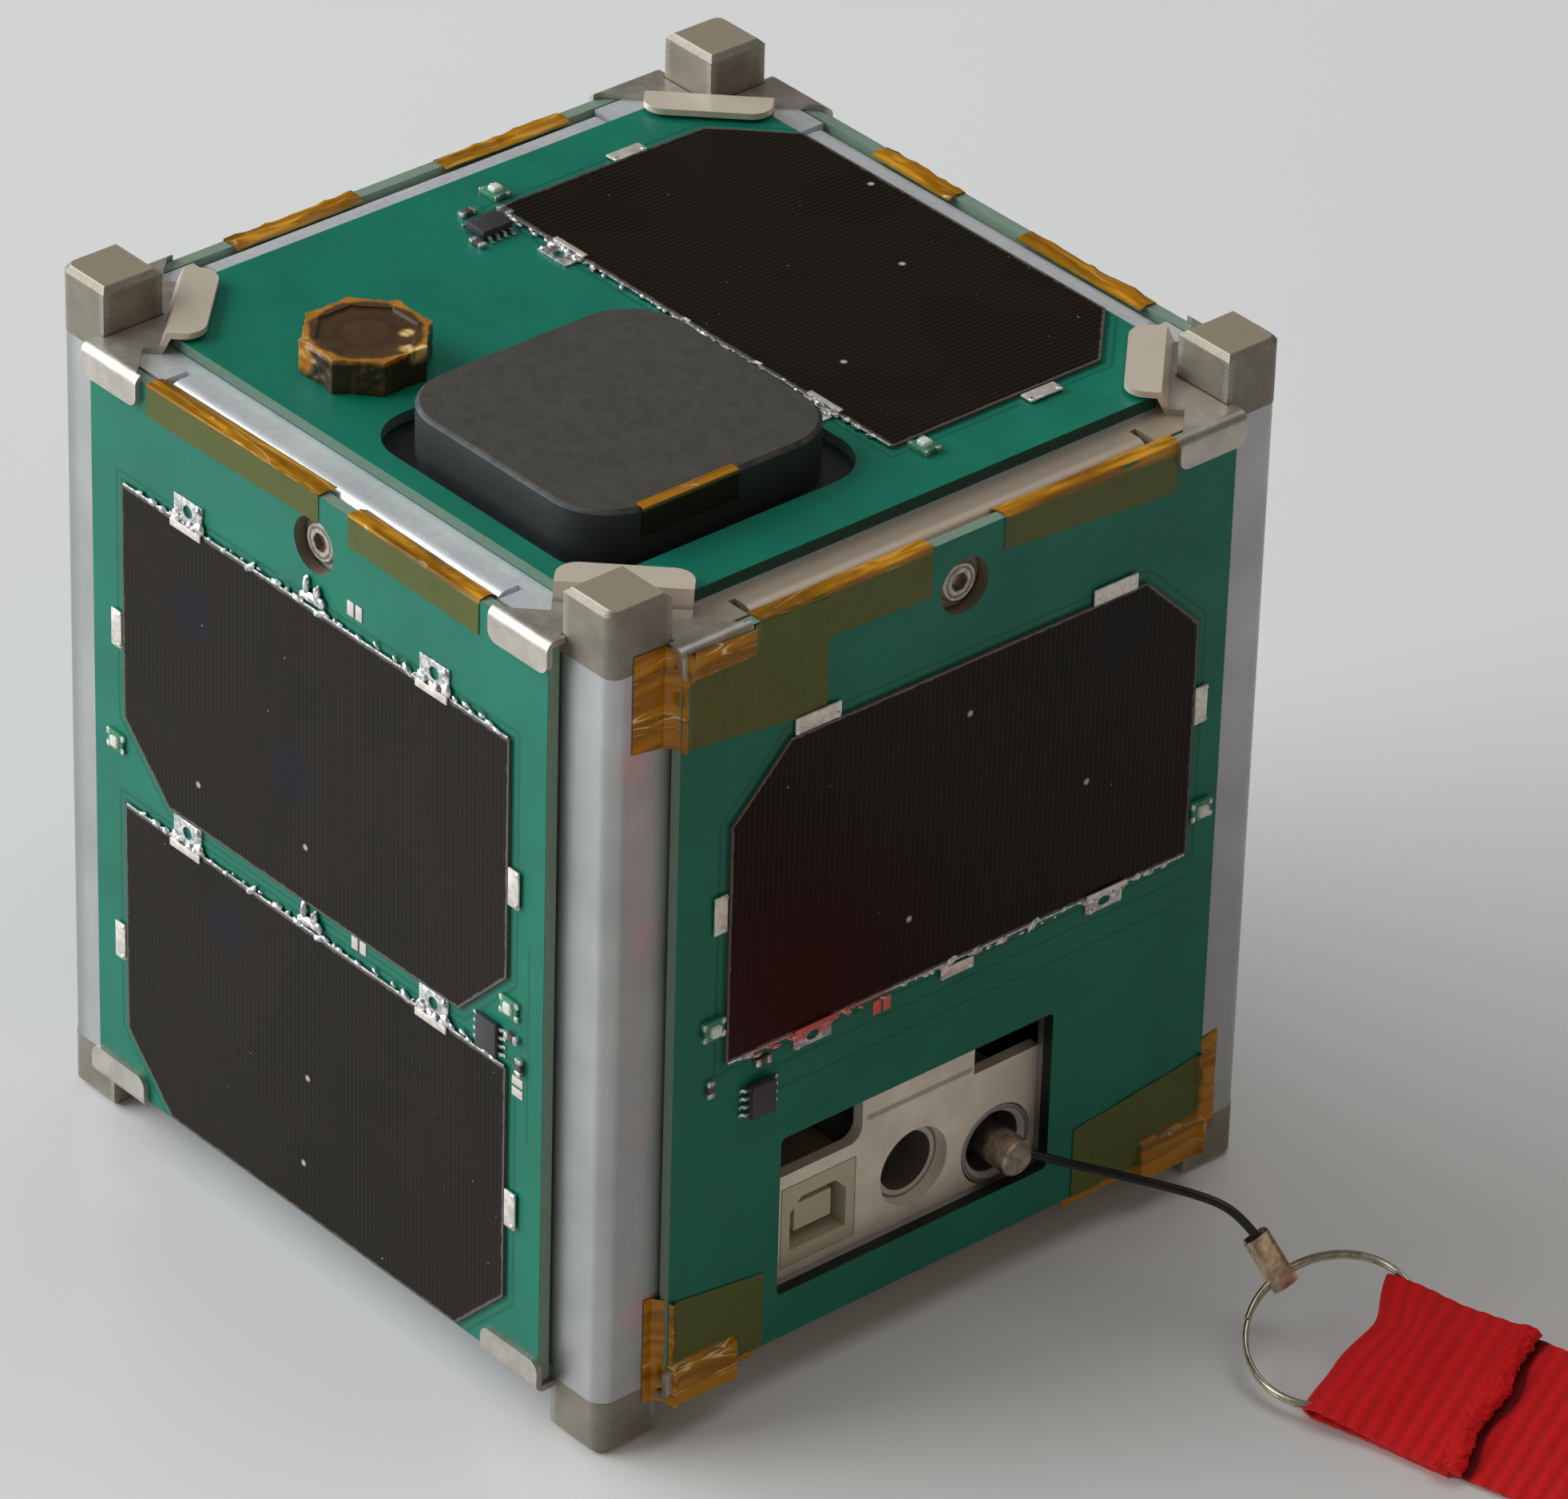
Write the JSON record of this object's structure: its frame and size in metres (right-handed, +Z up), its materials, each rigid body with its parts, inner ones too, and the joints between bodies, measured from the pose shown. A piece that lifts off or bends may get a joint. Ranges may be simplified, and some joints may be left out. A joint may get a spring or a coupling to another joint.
{
  "type": "cube satellite engineering model",
  "caption": "Small cube satellite: sheet frame with corner rails and feet, circuit-board sides with solar cells, corner clips, patch antenna, access window and a pull pin on a red strap.",
  "frame": {"origin": "under the middle of the frame, on the plane of the lower feet's ends", "axes": "+Z up through the stack, towards the face with the patch antenna; +X out of the face with the access window, the way the pin is pulled; -Y out of the face to the left of it"},
  "size_m": [0.2711, 0.1261, 0.1135],
  "materials": {
    "rail_metal": "satin, brushed along the rails",
    "plate_metal": "satin sheet",
    "anodised_foot": "hard anodised, warm grey",
    "clip_metal": "bare bent sheet",
    "circuit_board": "green solder mask over glass fibre",
    "solar_cell": "dark brown cell, glossy",
    "antenna_cover": "matt grey top, black sides",
    "amber_tape": "creased amber film",
    "cream_plastic": "moulded, semi-matt",
    "black_plastic": "moulded, semi-matt",
    "pin_steel": "turned and polished",
    "screw_steel": "plain",
    "black_cord": "sheathed wire",
    "red_webbing": "ribbed woven strap",
    "inner_boards": "hidden block"
  },
  "bodies": {
    "satellite": {"chassis_walls": "rail_metal", "cover_plate": "plate_metal", "base_plate": "plate_metal", "panel_x_plus": "circuit_board", "panel_x_minus": "circuit_board", "panel_y_plus": "circuit_board", "panel_y_minus": "circuit_board", "panel_top": "circuit_board", "panel_bottom": "circuit_board", "cell_x_plus": "solar_cell", "cells_x_minus": "solar_cell", "cells_y_plus": "solar_cell", "cells_y_minus": "solar_cell", "cell_top": "solar_cell", "cells_bottom": "solar_cell", "patch_antenna": "antenna_cover", "taped_cap": "amber_tape", "port_plate": "plate_metal", "usb_port": "cream_plastic", "power_jack": "black_plastic", "pin_socket": "black_plastic", "cover_screws": "screw_steel", "electronics_stack": "inner_boards", "foot_upper_front": "anodised_foot", "clip_upper_front": "clip_metal", "foot_lower_front": "anodised_foot", "clip_lower_front": "clip_metal", "foot_upper_right": "anodised_foot", "clip_upper_right": "clip_metal", "foot_lower_right": "anodised_foot", "clip_lower_right": "clip_metal", "foot_upper_back": "anodised_foot", "clip_upper_back": "clip_metal", "foot_lower_back": "anodised_foot", "clip_lower_back": "clip_metal", "foot_upper_left": "anodised_foot", "clip_upper_left": "clip_metal", "foot_lower_left": "anodised_foot", "clip_lower_left": "clip_metal"},
    "pin": {"pull_pin": "pin_steel", "lanyard_cord": "black_cord", "lanyard_crimp": "pin_steel", "lanyard_ring": "pin_steel", "lanyard_strap": "red_webbing"}
  },
  "joints": [
    {"name": "pin_pull", "type": "slide", "parent": "satellite", "child": "pin", "axis": [1, 0, 0], "range_m": [0, 0.02]}
  ]
}
